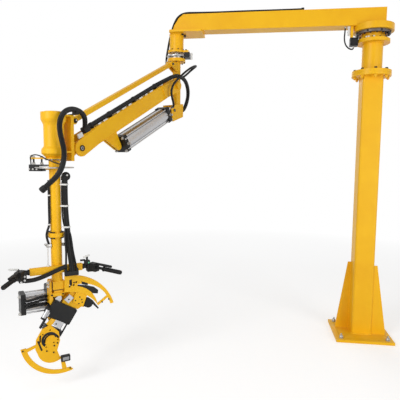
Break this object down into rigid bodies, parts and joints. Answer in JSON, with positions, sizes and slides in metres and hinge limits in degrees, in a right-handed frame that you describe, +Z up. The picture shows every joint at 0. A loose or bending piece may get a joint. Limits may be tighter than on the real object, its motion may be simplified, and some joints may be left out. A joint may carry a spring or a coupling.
{
  "type": "manipulator arm",
  "caption": "Column-mounted pneumatic manipulator: slewing boom, balanced parallelogram arm, swivelling drop tube with handlebar, tilting gripper with bow jaws.",
  "frame": {"origin": "centre of the base plate's underside, on the floor", "axes": "+Z up, -X along the boom at rest, -Y toward the operator's side"},
  "size_m": [2.9631, 2.0859, 3.0229],
  "materials": {
    "yellow_paint": "satin powder coat, warm yellow",
    "steel": "machined or galvanised, satin",
    "polished_rod": "polished",
    "dark_metal": "black paint, satin",
    "black_plastic": "matte black",
    "hose_black": "matte black hose",
    "conduit_black": "corrugated black conduit",
    "rubber_grip": "matte black grip",
    "cast_alloy": "anodised, satin"
  },
  "bodies": {
    "base": {"base_plate": "yellow_paint", "column_tube": "yellow_paint", "column_gussets": "yellow_paint", "column_flange": "yellow_paint", "pedestal": "yellow_paint", "slewing_hub": "steel"},
    "boom": {"slewing_ring": "dark_metal", "boom_turntable": "yellow_paint", "boom_beam": "yellow_paint", "elbow_plate": "yellow_paint", "elbow_spigot": "yellow_paint", "elbow_brake": "dark_metal", "slew_brake": "dark_metal", "slew_hose": "hose_black", "boom_hose": "hose_black"},
    "head": {"elbow_disc": "steel", "head_post": "yellow_paint", "cylinder_bracket": "yellow_paint", "head_pins": "steel", "elbow_loop": "conduit_black", "head_hose": "hose_black"},
    "main_arm": {"arm_tube": "yellow_paint", "pivot_cap": "yellow_paint", "conduit_clips": "black_plastic", "arm_conduit": "conduit_black", "cylinder_gusset": "yellow_paint"},
    "tie": {"tie_rod": "yellow_paint"},
    "knuckle": {"knuckle_bracket": "yellow_paint", "swivel_housing": "yellow_paint", "knuckle_pins": "steel", "caliper_bracket": "yellow_paint", "wrist_caliper": "dark_metal", "brake_hose": "hose_black", "knuckle_loop": "conduit_black", "loop_saddle": "yellow_paint"},
    "barrel": {"lift_barrel": "cast_alloy", "lift_caps": "dark_metal"},
    "rod": {"lift_rod": "polished_rod"},
    "drop": {"wrist_disc": "steel", "drop_tube": "yellow_paint", "hose_bundle": "hose_black", "handlebar": "yellow_paint", "hand_grips": "rubber_grip", "hand_controls": "black_plastic", "handle_hose": "hose_black", "hinge_block": "yellow_paint", "tilt_caps": "black_plastic", "tilt_barrel": "cast_alloy"},
    "gripper": {"gripper_hood": "dark_metal", "upper_jaw": "yellow_paint", "upper_carriage": "yellow_paint", "jaw_knob": "black_plastic", "side_cylinder": "cast_alloy"},
    "lower_jaw_slide": {"lower_jaw": "yellow_paint", "lower_carriage": "steel", "sensor_box": "black_plastic"}
  },
  "joints": [
    {"name": "boom_slew", "type": "hinge", "parent": "base", "child": "boom", "pos_m": [0, 0, 2.85], "axis": [0, 0, 1], "range_deg": [-170, 170]},
    {"name": "elbow_swivel", "type": "hinge", "parent": "boom", "child": "head", "pos_m": [-1.8, 0, 2.65], "axis": [0, 0, 1], "range_deg": [-180, 49]},
    {"name": "arm_lift", "type": "hinge", "parent": "head", "child": "main_arm", "pos_m": [-1.8285, -0.06284, 2.3445], "axis": [-0.9107, 0.4131, 0], "range_deg": [-3, 52]},
    {"name": "tie_swing", "type": "hinge", "parent": "head", "child": "tie", "pos_m": [-1.84338, -0.09562, 2.5395], "axis": [-0.9107, 0.4131, 0], "range_deg": [-4, 53]},
    {"name": "knuckle_level", "type": "hinge", "parent": "main_arm", "child": "knuckle", "pos_m": [-2.3218, -1.1503, 1.72553], "axis": [-0.9107, 0.4131, 0], "range_deg": [-53, 4]},
    {"name": "cylinder_swing", "type": "hinge", "parent": "main_arm", "child": "barrel", "pos_m": [-2.14494, -0.76042, 1.75], "axis": [-0.9107, 0.4131, 0], "range_deg": [-0.44, 2.8]},
    {"name": "cylinder_stroke", "type": "slide", "parent": "barrel", "child": "rod", "axis": [0.371, 0.8179, 0.4399], "range_m": [-0.0136, 0.2026]},
    {"name": "wrist_swivel", "type": "hinge", "parent": "knuckle", "child": "drop", "pos_m": [-2.40359, -1.33061, 1.6], "axis": [0, 0, 1], "range_deg": [-170, 170]},
    {"name": "tool_tilt", "type": "hinge", "parent": "drop", "child": "gripper", "pos_m": [-2.38625, -1.31707, 0.56], "axis": [-0.6157, 0.788, 0], "range_deg": [-8, 58]},
    {"name": "jaw_slide", "type": "slide", "parent": "gripper", "child": "lower_jaw_slide", "axis": [-0.4176, -0.3263, -0.848], "range_m": [-0.045, 0.04]}
  ],
  "couplings": [
    {"joint": "tie_swing", "follows": "arm_lift", "ratio": 1},
    {"joint": "knuckle_level", "follows": "arm_lift", "ratio": -1},
    {"joint": "cylinder_swing", "follows": "arm_lift", "ratio": 0.048},
    {"joint": "cylinder_stroke", "follows": "arm_lift", "m_per_rad": 0.221}
  ]
}
